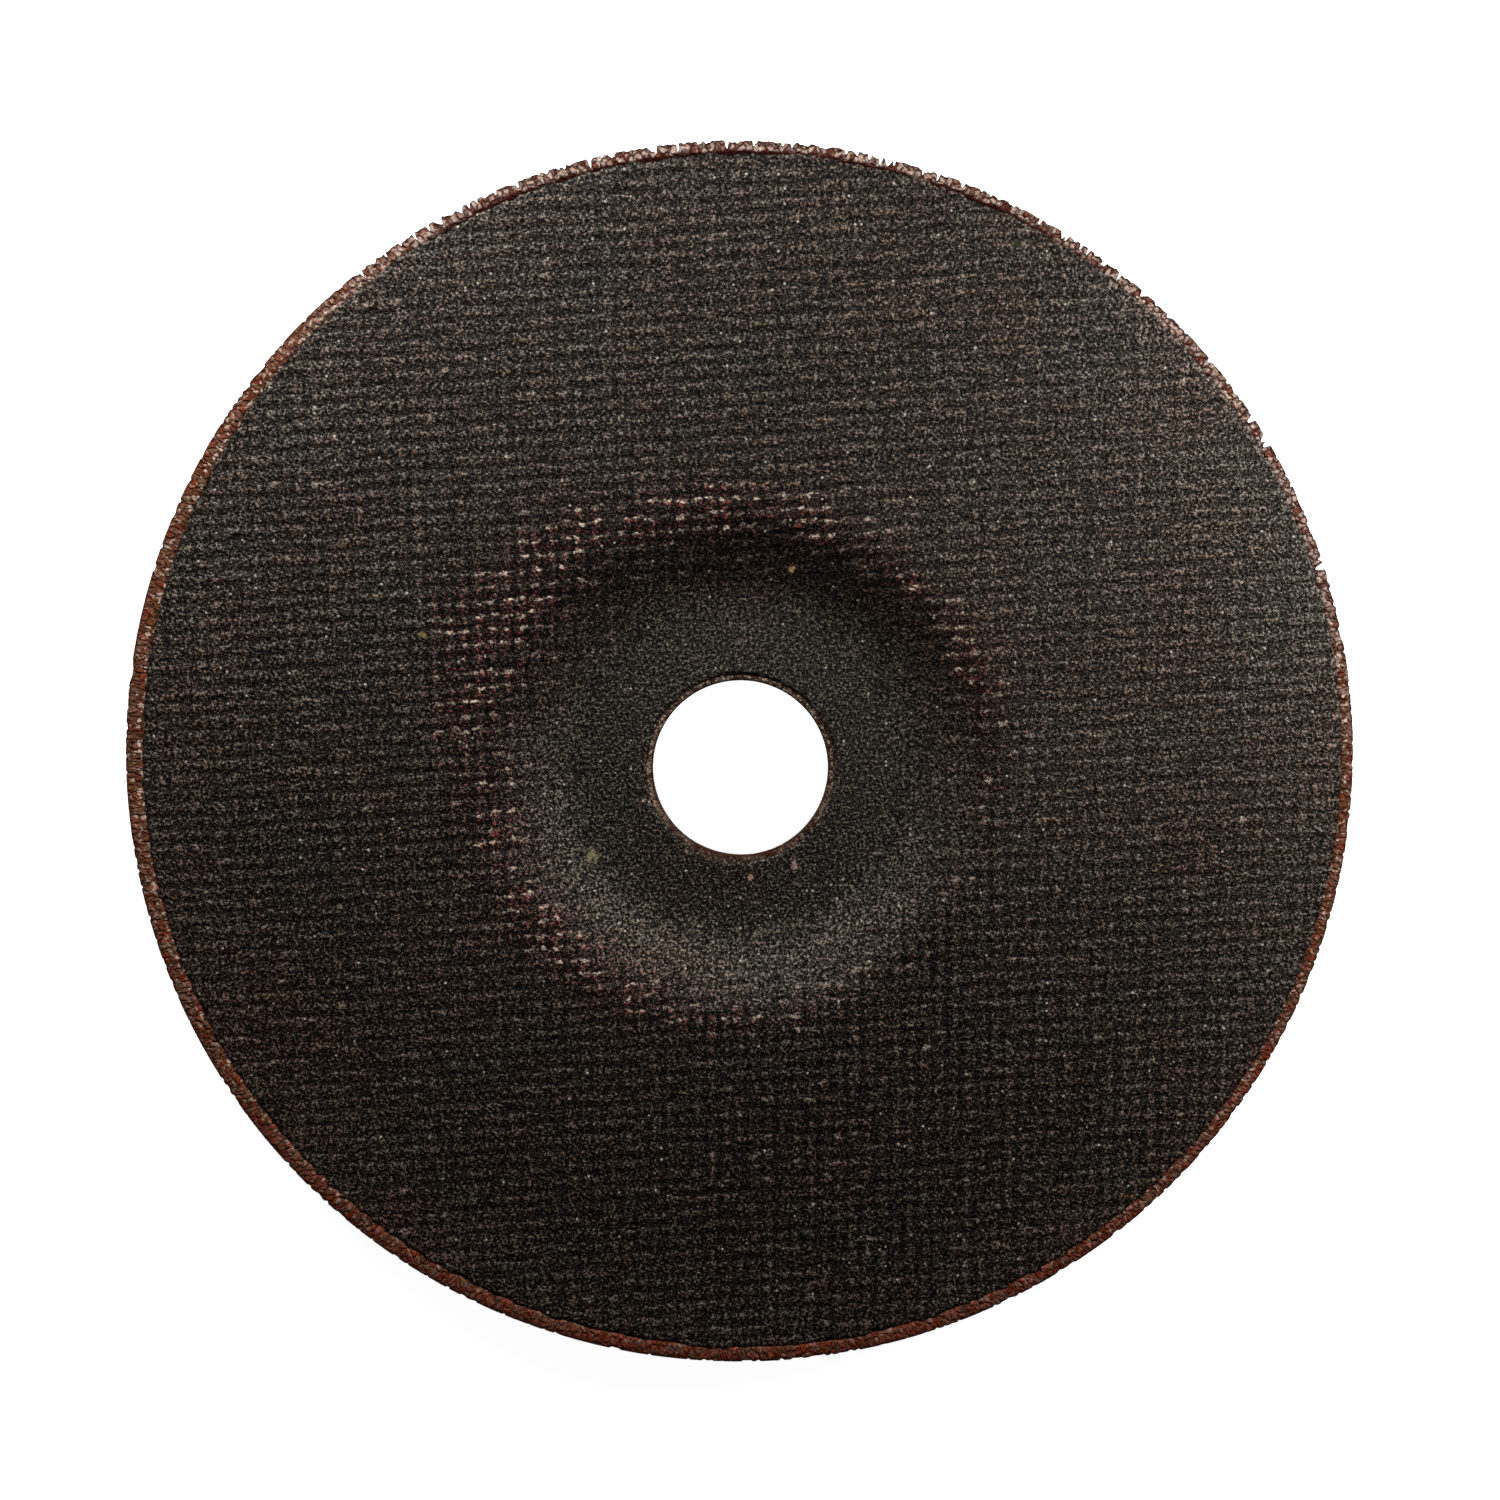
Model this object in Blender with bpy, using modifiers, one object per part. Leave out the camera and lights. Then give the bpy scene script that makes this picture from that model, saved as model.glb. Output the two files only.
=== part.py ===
"""Depressed-centre cut-off wheel: an abrasive disc faced with woven glass cloth, on a steel arbor ring.

Sizes are in metres, with +Z up along the bore. The recessed side faces up, and the wheel rests on the
back of its hub at Z = 0.
"""

from bisect import bisect_right
from math import ceil, cos, hypot, pi, radians, sin, tan
import random

import bmesh
import bpy
from mathutils import Matrix, Vector

# Wheel, a standard size of 6 in (152.4 mm) x 3 mm x 22.23 mm
WHEEL_DIAMETER = 0.1524
WALL_THICKNESS = 0.0030
BORE_DIAMETER = 0.02223

# Depressed centre, as the recessed side shows it: the floor and the slope would meet at the floor
# diameter and the slope and the face at the mouth diameter, if their corners were sharp
RECESS_DEPTH = 0.0046
FLOOR_DIAMETER = 0.0440
MOUTH_DIAMETER = 0.0620
FLOOR_FILLET = 0.0115
MOUTH_FILLET = 0.0130
LEAST_FILLET = 0.0005

# Raw abrasive at the rim and round the bore, where the cloth stops short of the edge
RIM_BAND = 0.0016
RIM_DROP = 0.0007
BORE_BAND = 0.0007
BORE_DROP = 0.0004

# Rows of the woven cloth, pressed into both faces. The raw abrasive lies a step below their valleys
ROW_PITCH = 0.00175
ROW_HEIGHT = 0.00022
CLOTH_STEP = 0.0001
WEAVE_TURN = radians(4)

# Pressed steel arbor ring
RING_STRIP = 0.0005
RING_HEIGHT = 0.0018
RING_BEND = 0.0008
FLANGE_WIDTH = 0.0039
RING_SEAT_GAP = 0.0003

# Nicks in the rim, all along one side of the wheel
NICK_COUNT = 24
NICK_ARC_START = radians(18)
NICK_ARC_END = radians(122)
NICK_DEPTH = 0.0012
NICK_SIZE = 0.0024
NICK_SEED = 7

# Fineness of the round forms
TURN_STEPS = 80
SPOKE_STRIDE = 2
FILLET_STEPS = 3
RIM_STEPS = 3
BORE_STEPS = 2
MERGE_DISTANCE = 1e-6

# Level far above the wheel, to which a face is lifted while its rows are cut
CUTTING_LEVEL = 1.0

WHEEL_RADIUS = WHEEL_DIAMETER / 2
BORE_RADIUS = BORE_DIAMETER / 2
FLOOR_LEVEL = WALL_THICKNESS
FACE_LEVEL = WALL_THICKNESS + RECESS_DEPTH
CLOTH_RADIUS = WHEEL_RADIUS - RIM_BAND
CLOTH_BORE_RADIUS = BORE_RADIUS + BORE_BAND
FLANGE_RADIUS = BORE_RADIUS + FLANGE_WIDTH


def clear_scene():
    """Remove the objects that the scene starts with."""
    for obj in list(bpy.data.objects):
        bpy.data.objects.remove(obj)


def make_collection(name, hidden=False):
    """Add a collection to the scene."""
    collection = bpy.data.collections.new(name)
    collection.hide_render = hidden
    bpy.context.scene.collection.children.link(collection)
    return collection


def make_material(name, colour, roughness, metallic=0.0):
    """Make a Principled material of one colour."""
    material = bpy.data.materials.new(name)
    material.use_nodes = True
    shader = material.node_tree.nodes["Principled BSDF"]
    shader.inputs["Base Color"].default_value = (*colour, 1.0)
    shader.inputs["Roughness"].default_value = roughness
    shader.inputs["Metallic"].default_value = metallic
    return material


def arc(centre, radius_r, radius_z, start, end, steps):
    """Points of an arc in the (radius, height) plane. Angles run anticlockwise from the radius axis."""
    points = []
    for step in range(steps + 1):
        angle = start + (end - start) * step / steps
        points.append((centre[0] + radius_r * cos(angle), centre[1] + radius_z * sin(angle)))
    return points


def slope_angle():
    """Angle between the slope of the depressed centre and the wheel's plane."""
    run = (MOUTH_DIAMETER - FLOOR_DIAMETER) / 2
    return Vector((run, RECESS_DEPTH)).angle(Vector((1, 0)))


def dished_line(depth):
    """Line from the hub's flat to the rim's flat, at this depth below the recessed side.

    The fillets keep their centres at every depth, so the wall has the same thickness all along.
    """
    slope = slope_angle()
    tangent = tan(slope / 2)
    # Half of the slope is the most that either fillet can take up
    widest = hypot((MOUTH_DIAMETER - FLOOR_DIAMETER) / 2, RECESS_DEPTH) / 2 / tangent
    lower = min(FLOOR_FILLET, widest) + depth
    upper = max(min(MOUTH_FILLET, widest) - depth, LEAST_FILLET)
    floor_corner = FLOOR_DIAMETER / 2 + depth * tangent
    mouth_corner = MOUTH_DIAMETER / 2 + depth * tangent
    floor_centre = (floor_corner - lower * tangent, FLOOR_LEVEL - depth + lower)
    mouth_centre = (mouth_corner + upper * tangent, FACE_LEVEL - depth - upper)
    line = arc(floor_centre, lower, lower, -pi / 2, -pi / 2 + slope, FILLET_STEPS)
    line += arc(mouth_centre, upper, upper, pi / 2 + slope, pi / 2, FILLET_STEPS)
    return line


def disc_profile():
    """Section of the abrasive disc, clockwise from the cloth's edge at the bore, on the recessed side."""
    raw_face = FACE_LEVEL - ROW_HEIGHT - CLOTH_STEP
    raw_back = RECESS_DEPTH + ROW_HEIGHT + CLOTH_STEP
    raw_floor = FLOOR_LEVEL - CLOTH_STEP
    seat_radius = BORE_RADIUS + RING_STRIP + RING_SEAT_GAP
    seat_level = RING_HEIGHT + RING_SEAT_GAP
    rebate_radius = FLANGE_RADIUS + RING_SEAT_GAP
    rebate_level = RING_STRIP + RING_SEAT_GAP
    # The ring's inner bend needs room at the foot of the seat
    relief = RING_BEND - RING_STRIP

    profile = [(CLOTH_BORE_RADIUS, FLOOR_LEVEL)]
    profile += dished_line(0.0)
    profile.append((CLOTH_RADIUS, FACE_LEVEL))
    profile += arc((CLOTH_RADIUS, raw_face - RIM_DROP), RIM_BAND, RIM_DROP, pi / 2, 0, RIM_STEPS)
    profile += arc((CLOTH_RADIUS, raw_back + RIM_DROP), RIM_BAND, RIM_DROP, 0, -pi / 2, RIM_STEPS)
    profile.append((CLOTH_RADIUS, RECESS_DEPTH))
    profile += reversed(dished_line(WALL_THICKNESS))
    profile.append((rebate_radius, 0.0))
    profile.append((rebate_radius, rebate_level))
    profile.append((seat_radius + relief, rebate_level))
    profile.append((seat_radius, rebate_level + relief))
    profile.append((seat_radius, seat_level))
    profile.append((BORE_RADIUS, seat_level))
    profile += arc((CLOTH_BORE_RADIUS, raw_floor - BORE_DROP), BORE_BAND, BORE_DROP, pi, pi / 2, BORE_STEPS)
    return profile


def ring_profile():
    """Section of the arbor ring, clockwise: a short tube that bends out into a flange."""
    outer = RING_BEND
    inner = RING_BEND - RING_STRIP
    bend_centre = (BORE_RADIUS + RING_BEND, RING_BEND)
    profile = [(BORE_RADIUS + RING_STRIP, RING_HEIGHT)]
    profile += arc(bend_centre, inner, inner, pi, pi * 3 / 2, BORE_STEPS)
    profile.append((FLANGE_RADIUS, RING_STRIP))
    profile.append((FLANGE_RADIUS, 0.0))
    profile += arc(bend_centre, outer, outer, pi * 3 / 2, pi, BORE_STEPS)
    profile.append((BORE_RADIUS, RING_HEIGHT))
    return profile


def turned(name, profile, collection):
    """Turn a closed (radius, height) section about the bore's axis."""
    mesh = bpy.data.meshes.new(name)
    count = len(profile)
    edges = [(i, (i + 1) % count) for i in range(count)]
    mesh.from_pydata([(radius, 0, height) for radius, height in profile], edges, [])
    obj = bpy.data.objects.new(name, mesh)
    collection.objects.link(obj)
    screw = obj.modifiers.new("turn", "SCREW")
    screw.steps = TURN_STEPS
    screw.render_steps = TURN_STEPS
    screw.use_merge_vertices = True
    screw.merge_threshold = MERGE_DISTANCE
    return obj


def apply_modifiers(obj):
    """Replace an object's mesh with its evaluated one."""
    graph = bpy.context.evaluated_depsgraph_get()
    mesh = bpy.data.meshes.new_from_object(obj.evaluated_get(graph))
    old = obj.data
    obj.modifiers.clear()
    obj.data = mesh
    mesh.name = obj.name
    bpy.data.meshes.remove(old)


def radius_of(point):
    """Distance from the bore's axis."""
    return hypot(point.x, point.y)


def height_on(line, radius):
    """Height of a (radius, height) line at this radius, level past its ends."""
    after = bisect_right([point[0] for point in line], radius)
    if after == 0:
        return line[0][1]
    if after == len(line):
        return line[-1][1]
    (low_r, low_z), (high_r, high_z) = line[after - 1], line[after]
    return low_z + (high_z - low_z) * (radius - low_r) / (high_r - low_r)


def spoke_stays(edge, level_from):
    """Whether a radial edge is kept: some on the slope, and only the two on the X axis where all is level."""
    middle = (edge.verts[0].co + edge.verts[1].co) / 2
    if abs(middle.y) < MERGE_DISTANCE:
        return True
    spoke = round(Vector((middle.x, middle.y)).angle(Vector((1, 0))) * TURN_STEPS / (2 * pi))
    return radius_of(middle) < level_from and spoke % SPOKE_STRIDE == 0


def lift_face(bm, facing, inner, outer, level_from):
    """Lift the faces between two radii to the cutting level, and leave them only the spokes they need."""
    zone = set()
    for face in bm.faces:
        radii = [radius_of(vert.co) for vert in face.verts]
        within = inner - MERGE_DISTANCE < min(radii) and max(radii) < outer + MERGE_DISTANCE
        if within and face.normal.z * facing > 0.5:
            zone.add(face)
    spokes = []
    for edge in bm.edges:
        inside = all(face in zone for face in edge.link_faces)
        radial = abs(radius_of(edge.verts[0].co) - radius_of(edge.verts[1].co)) > MERGE_DISTANCE
        if inside and radial and not spoke_stays(edge, level_from):
            spokes.append(edge)
    for vert in {vert for face in zone for vert in face.verts}:
        vert.co.z = CUTTING_LEVEL
    bmesh.ops.dissolve_edges(bm, edges=spokes, use_verts=False, use_face_split=False)


def lifted(elements):
    """The edges or faces that lie on the cutting level."""
    return [element for element in elements if all(vert.co.z == CUTTING_LEVEL for vert in element.verts)]


def weave_face(bm, facing, line, inner, rise):
    """Press the cloth's rows into one face, from an inner radius to the cloth's edge.

    Straight cuts at half the rows' pitch give each row a crest and a valley, and then the face goes back to
    its own line. rise says how high the rows stand at a radius, as a share of their full height.
    """
    across = Vector((-sin(WEAVE_TURN), cos(WEAVE_TURN), 0))
    half_pitch = ROW_PITCH / 2
    reach = ceil(CLOTH_RADIUS / half_pitch)
    lift_face(bm, facing, inner, CLOTH_RADIUS, line[-1][0])
    geometry = lifted(bm.faces) + lifted(bm.edges)
    for row in range(-reach, reach + 1):
        cut = bmesh.ops.bisect_plane(
            bm,
            geom=geometry,
            dist=half_pitch / 40,
            plane_co=across * (row * half_pitch),
            plane_no=across,
        )
        geometry = cut["geom"]
    for vert in bm.verts:
        if vert.co.z != CUTTING_LEVEL:
            continue
        radius = radius_of(vert.co)
        phase = abs(vert.co.dot(across)) / half_pitch % 2
        below_crest = min(phase, 2 - phase) * ROW_HEIGHT * rise(radius)
        vert.co.z = height_on(line, radius) - facing * below_crest


def make_weave(disc):
    """Give both faces of the disc the rows of their cloth. The hub's flats stay plain, to be clamped."""
    front = dished_line(0.0)
    back = dished_line(WALL_THICKNESS)

    def climb(radius):
        return (height_on(front, radius) - FLOOR_LEVEL) / RECESS_DEPTH

    def full(radius):
        return 1.0

    bm = bmesh.new()
    bm.from_mesh(disc.data)
    bm.normal_update()
    weave_face(bm, 1, front, front[0][0], climb)
    bm.normal_update()
    weave_face(bm, -1, back, back[-1][0], full)
    bm.normal_update()
    bm.to_mesh(disc.data)
    bm.free()


def make_nick_cutters(collection):
    """Make the wedges that break the rim: upright three-sided prisms, each turned its own way."""
    rng = random.Random(NICK_SEED)
    bm = bmesh.new()
    spacing = (NICK_ARC_END - NICK_ARC_START) / NICK_COUNT
    for index in range(NICK_COUNT):
        angle = NICK_ARC_START + spacing * (index + rng.uniform(0.25, 0.75))
        depth = NICK_DEPTH * rng.uniform(0.4, 1.0)
        size = NICK_SIZE * rng.uniform(0.6, 1.0)
        turn = rng.uniform(-0.4, 0.4)
        lean = rng.uniform(-0.3, 0.3)
        # One corner of the prism points in towards the bore
        place = (
            Matrix.Rotation(angle, 4, "Z")
            @ Matrix.Translation((WHEEL_RADIUS - depth + size, 0, FACE_LEVEL - WALL_THICKNESS / 2))
            @ Matrix.Rotation(lean, 4, "X")
            @ Matrix.Rotation(pi / 2 + turn, 4, "Z")
        )
        bmesh.ops.create_cone(
            bm,
            cap_ends=True,
            segments=3,
            radius1=size,
            radius2=size,
            depth=WALL_THICKNESS * 3,
            matrix=place,
        )
    mesh = bpy.data.meshes.new("nick_cutters")
    bm.to_mesh(mesh)
    bm.free()
    cutters = bpy.data.objects.new("nick_cutters", mesh)
    cutters.hide_render = True
    cutters.display_type = "WIRE"
    collection.objects.link(cutters)
    return cutters


def cut_nicks(disc, cutters):
    """Break the rim with the wedges."""
    nicks = disc.modifiers.new("nicks", "BOOLEAN")
    nicks.operation = "DIFFERENCE"
    nicks.solver = "EXACT"
    nicks.object = cutters


def smooth(obj, sharp_angle):
    """Shade an object smooth, apart from edges sharper than this angle."""
    obj.data.shade_smooth()
    obj.data.set_sharp_from_angle(angle=sharp_angle)


def make_abrasive_disc(collection, cutter_collection):
    """Resin-bonded abrasive with a glass cloth moulded into each face."""
    disc = turned("abrasive_disc", disc_profile(), collection)
    apply_modifiers(disc)
    make_weave(disc)
    smooth(disc, radians(20))
    cut_nicks(disc, make_nick_cutters(cutter_collection))
    disc.data.materials.append(make_material("black_abrasive", (0.035, 0.031, 0.028), 0.9))
    return disc


def make_arbor_ring(collection):
    """Pressed steel ring that lines the bore, its flange let into the back of the hub."""
    ring = turned("arbor_ring", ring_profile(), collection)
    apply_modifiers(ring)
    smooth(ring, radians(35))
    ring.data.materials.append(make_material("zinc_plated_steel", (0.55, 0.56, 0.57), 0.35, 1.0))
    return ring


def main():
    clear_scene()
    wheel = make_collection("cut_off_wheel")
    cutters = make_collection("cutters", hidden=True)
    make_abrasive_disc(wheel, cutters)
    make_arbor_ring(wheel)


main()
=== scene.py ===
"""Looks of the depressed-centre cut-off wheel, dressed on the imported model.

Sizes are in metres in the model's own frame: +Z up along the bore, the recessed side up, and the back of
the hub on the floor at Z = 0. A comment says where they are in millimetres. In the photograph +X is at the
right and +Y at the top, and angles run from +X towards +Y.
"""

from math import ceil, cos, hypot, pi, radians, sin, tan

import bpy
from mathutils import Matrix, Vector, noise
from mathutils.bvhtree import BVHTree
from mathutils.geometry import delaunay_2d_cdt
import numpy as np


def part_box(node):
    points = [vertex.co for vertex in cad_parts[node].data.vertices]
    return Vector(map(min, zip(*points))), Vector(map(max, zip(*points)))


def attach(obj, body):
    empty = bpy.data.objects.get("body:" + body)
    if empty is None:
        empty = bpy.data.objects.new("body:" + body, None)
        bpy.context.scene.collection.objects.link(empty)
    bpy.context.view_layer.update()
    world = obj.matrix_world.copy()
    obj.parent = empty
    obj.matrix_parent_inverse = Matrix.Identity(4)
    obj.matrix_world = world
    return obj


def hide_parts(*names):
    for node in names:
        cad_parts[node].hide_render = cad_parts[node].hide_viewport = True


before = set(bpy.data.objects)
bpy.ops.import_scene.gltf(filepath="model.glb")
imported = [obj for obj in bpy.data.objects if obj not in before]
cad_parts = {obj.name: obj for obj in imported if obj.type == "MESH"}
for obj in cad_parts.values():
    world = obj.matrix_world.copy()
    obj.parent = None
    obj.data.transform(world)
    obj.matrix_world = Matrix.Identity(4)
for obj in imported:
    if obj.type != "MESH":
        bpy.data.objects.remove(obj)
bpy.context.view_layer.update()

MILLIMETRE = 0.001

# The solid's driving sizes, as in the part's source
WALL_THICKNESS = 0.0030
RECESS_DEPTH = 0.0046
FLOOR_DIAMETER = 0.0440
MOUTH_DIAMETER = 0.0620
FLOOR_FILLET = 0.0115
MOUTH_FILLET = 0.0130
FILLET_STEPS = 24
RIM_BAND = 0.0016
RIM_DROP = 0.0007
BORE_DROP = 0.0004
ROW_HEIGHT = 0.00022
CLOTH_STEP = 0.0001
RING_STRIP = 0.0005
RING_BEND = 0.0008
RING_SEAT_GAP = 0.0003
RIM_FACETS = 80

# The raw edge at the bore, wider than the solid's
BORE_BAND = 0.0009

# What the frame gives
DISC_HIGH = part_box("abrasive_disc")[1]
RING_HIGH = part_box("arbor_ring")[1]
WHEEL_RADIUS = DISC_HIGH.x
FACE_LEVEL = DISC_HIGH.z
FLOOR_LEVEL = FACE_LEVEL - RECESS_DEPTH
RING_HEIGHT = RING_HIGH.z
FLANGE_RADIUS = RING_HIGH.x
BORE_RADIUS = min(hypot(vert.co.x, vert.co.y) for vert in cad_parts["arbor_ring"].data.vertices)
CLOTH_RADIUS = WHEEL_RADIUS - RIM_BAND
CLOTH_BORE_RADIUS = BORE_RADIUS + BORE_BAND

# Well outside the wheel, in wheel radii
OUTSIDE = 1.1

# Cells of smooth noise before it repeats. A layer of noise is given by its strength, the size of its lumps
# and its seed.
NOISE_CELLS = 64

# Threads pressed into the faces: waves across the wheel, each by its count per metre along X and Y
FINE_ROWS = (-38.0, 571.0)
FINE_COLUMNS = (560.0, 0.0)
NET_ROWS = (36.0, 345.0)
NET_COLUMNS = (401.0, -10.0)

# How deep the gaps between threads are, in rows' heights, and layers of noise by which the threads wander, in
# millimetres, and differ in strength
ROW_RELIEF = 0.55
COLUMN_RELIEF = 0.20
NET_RELIEF = 0.20
MOST_RELIEF = 1.3
WANDER_ACROSS = ((0.12, 0.009, 11), (0.06, 0.0026, 15))
WANDER_UP = ((0.15, 0.007, 12), (0.09, 0.0031, 16))
THREAD_LUMPS = ((0.2, 1.7, 13), (0.2, 6.0, 14))

# What is left of the weave on the front's hub, and over what distance it rises beyond the back's
HUB_WEAVE = 0.04
HUB_FADE = 0.002

# The cloth's uneven outer edge, and its least distance from the broken rim
CLOTH_EDGE_LUMPS = ((0.00012, 0.0031, 21), (0.00018, 0.0009, 22))
CLOTH_EDGE_GAP = 0.0003

# Rim that is ragged along the upper arc: slits and small bites, with their half widths in millimetres
RAGGED_START = radians(12)
RAGGED_END = radians(126)
RAGGED_FADE = radians(24)
SLITS_START = radians(52)
SLIT_PITCH = 0.0023
SLIT_DEPTH = 0.0013
SLIT_WIDTHS = (0.10, 0.24)
BITE_PITCH = 0.0015
BITE_DEPTH = 0.0002
BITE_WIDTHS = (0.25, 0.6)
BITE_SEED = 3
SPACING_RANGE = (0.3, 1.7)
DEPTH_RANGE = (0.1, 1.0)
NICK_SLACK = RIM_DROP / 10

# Rounder bites in the rim at the right, by angle in degrees
ROUND_BITES = (34.7, 32.0, 19.5)
ROUND_BITE_WIDTH = 0.00036
ROUND_BITE_DEPTH = 0.0010

# Fine unevenness of the whole rim: its depth, and the size and seed of its fringe and its wider swell
FRINGE = 0.00036
FRINGE_LUMPS = (0.0005, 23)
SWELL_LUMPS = (0.0022, 24)
SWELL_SHARE = 0.4

# How much wider the raw band is at the lower left than at the upper right, and its turn
LOW_BAND = 0.00082
LOW_BAND_TURN = radians(55)

# Wear round the shoulder of the recess, by angle in degrees: how strong it is, and how far out and how wide
# in millimetres
WEAR_ANGLES = (0, 30, 60, 90, 120, 150, 180, 210, 240, 270, 300, 330, 360)
WEAR_STRENGTH = (0.3, 0.7, 0.55, 0.95, 1.05, 1.15, 0.7, 0.75, 1.15, 0.5, 0.2, 0.2, 0.3)
WEAR_RADIUS = (31, 31, 31, 32.5, 33.3, 36.5, 31.6, 31, 31, 31.5, 31.5, 31, 31)
WEAR_WIDTH = (2.2, 2.6, 2.6, 3.2, 4, 6.5, 4.8, 3.2, 3.2, 2.6, 2.5, 2.2, 2.2)
WEAR_LEVEL = 1.1
WEAR_LUMPS = ((0.6, 0.004, 31), (0.5, 0.0015, 32))

# Faint wear in patches all over: how strong, the size and seed of its patches, and what stays unworn of them
FAINT_WEAR = 0.3
FAINT_WEAR_LUMPS = (0.011, 33)
FAINT_WEAR_START = 0.15

# How light the coat is, in powers of two, by radius in millimetres: all over, and beyond a start radius times
# a number for the top and one for the bottom, a painted light that makes the lower side lighter towards the
# rim; and the painted shade and painted light of the slope of the recess and of the hub, each times a number
# for the top and one for the bottom
COAT_TONE = ((19, -0.75), (23, -0.25), (30, -0.15), (36, 0), (58, 0), (76, 1))
OUTER_TONE_START = 40
OUTER_LIGHT_SIDES = (0.25, 1.0)
SLOPE_TONE = ((22, 0), (26, 0.5), (30, 0.6), (33, 0))
SLOPE_SHADE_SIDES = (-1.0, 0.7)
HUB_TONE = ((12, 1), (19, 0))
HUB_LIGHT_SIDES = (0.25, -0.45)

# Where the coat has the plain hub's colour, by radius in millimetres
HUB_COLOURED = ((21, 1), (26, 0))

# How strong the darker resin and painted shade in the gaps of the two sets of threads are, and how strong the
# grain looks, by angle in degrees
THREAD_ANGLES = (0, 45, 90, 135, 180, 225, 270, 315, 360)
ROW_SHADE_STRENGTH = (0.52, 1.16, 1.45, 0.98, 0.94, 0.9, 1.0, 0.84, 0.52)
COLUMN_SHADE_STRENGTH = (1.2, 0.3, 0.75, 1.45, 1.1, 1.0, 1.9, 2.3, 1.2)
GRAIN_CONTRAST = (0.1, 0.0, 0.1, 0.3, 1.0, 1.0, 1.0, 0.9, 0.1)

# Stray grains in the coat: place and half size in millimetres, and colour
STRAY_GRAINS = (
    ((6.9, -12.3), (0.32, 0.60), (0.27, 0.17, 0.15)),
    ((1.3, -14.0), (0.28, 0.50), (0.30, 0.17, 0.11)),
    ((6.4, 25.0), (0.30, 0.50), (0.60, 0.36, 0.17)),
    ((-18.8, -11.1), (0.60, 0.60), (0.15, 0.13, 0.065)),
    ((-39.0, 17.0), (0.45, 0.35), (0.13, 0.085, 0.025)),
)

# Colours of the coat over the cloth. A pair's first is for its redder patches.
COAT_GROUND = (0.0250, 0.0082, 0.0050), (0.0192, 0.0100, 0.0064)
COAT_CREST = (0.0190, 0.0116, 0.0074), (0.0152, 0.0120, 0.0086)
COAT_BROWN = (0.0205, 0.0100, 0.0072)
COAT_HUB = (0.0152, 0.0120, 0.0082)
# Red of the worn resin, partly painted shade below the curls and in the gaps, and the painted highlight on
# the curls' upper side
RED_RESIN_AND_SHADE = (0.031, 0.0019, 0.0015)
CURL_HIGHLIGHT = (0.58, 0.45, 0.34)
SPARK = (0.42, 0.38, 0.31)

# Colours of the raw abrasive: the painted highlight of its pale flecks, its pits, and its outline, whose pair
# is for dark and for pale grains.
FLECK_HIGHLIGHT = (0.58, 0.43, 0.34)
PIT = (0.030, 0.008, 0.004)
OUTLINE = (0.040, 0.010, 0.004), (0.014, 0.005, 0.003)

# Noise in the materials: lumps per metre, detail, and roughness if not 0.5
GRIT = (2700, 1.5, 0.9)
DRIFT = (700, 1.0)
GAP_PATCHES = (420, 1.0)
UNEVEN = (1900, 1.5, 0.7)
WARM_PATCHES = (95, 5.0, 0.62)
BROWN_PATCHES = (1000, 2.0)
RAW_GRIT = (2600, 2.0, 0.8)
RAW_CLOUD = (260, 2.0)
RAW_LUMPS = (900, 2.0)
FLECK_LUMPS = (1500, 1.0)
STEEL_CLOUD = (180, 4.0)
STEEL_GRAIN = (2500, 2.0)

# Ranges of the coat's numbers: low and high, and the low and high that they become if not 0 and 1
DRIFT_RANGE = (0.25, 0.75, -0.17, 0.17)
GAP_PATCH_RANGE = (0.35, 0.6, 0.7, 1.5)
CURL_ACROSS = (0.0, 1.0, -0.3, 0.3)
CURL_UP = (0.0, 1.0, 0.06, 0.36)
UNEVEN_RANGE = (0.3, 0.7, -1.1, 1.1)
CURL_CHANCE = (0.95, 1.75)
CURL_GRIT = (0.42, 0.58, 0.15, 1.0)
RED_CHANCE = (0.0, 0.6, 0.3, 1.0)
GRIT_DEPTH = (0.0, 1.0, -14.1, 13.4)
WARM_RANGE = (0.40, 0.62)
CREST_RANGE = (0.40, 0.56)
BROWN_RANGE = (0.54, 0.66, 0.0, 0.5)
COAT_ROUGHNESS = (0.4, 0.6, 0.70, 0.52)

# Weights and limits of the coat's numbers
GAP_SHARPNESS = 2.2
UPRIGHT_SHARE = 0.6
UPRIGHT_WORN_SHARE = 0.9
NET_SHARE = 0.3
CHANCE_SHARE = 1.1
RED_GAP_SHARE = 0.8
CONTRAST_GAIN = 0.14
CONTRAST_DROP = -0.22
PATCHY_MIDDLE = 0.4
PATCHY_SHARE = 0.08
GLOSS_SLOPE = 0.42
GLOSS = 0.42
MOST_TONE = 9.0
THREAD_HEIGHT = 0.06
CURL_HEIGHT = 0.15
COAT_BUMP = 0.00018
COAT_TINT = (1.0, 0.93, 0.84, 1.0)

# Curls of resin with a painted highlight on their upper side, and the red below them, partly painted shade:
# half width and height and softness, in threads. Sparks and pits: cells per metre, share of cells without
# one, and size in cells.
CURL = (0.24, 0.10)
CURL_SOFTNESS = 0.35
RED = (0.60, 0.20)
RED_SOFTNESS = 0.6
RED_BELOW = 0.22
STRAY_UNEVEN = 0.6
STRAY_SOFTNESS = 0.3
SPARKS = (1300, 0.95, 0.26)
PITS = (1400, 0.55, 0.34)

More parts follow.
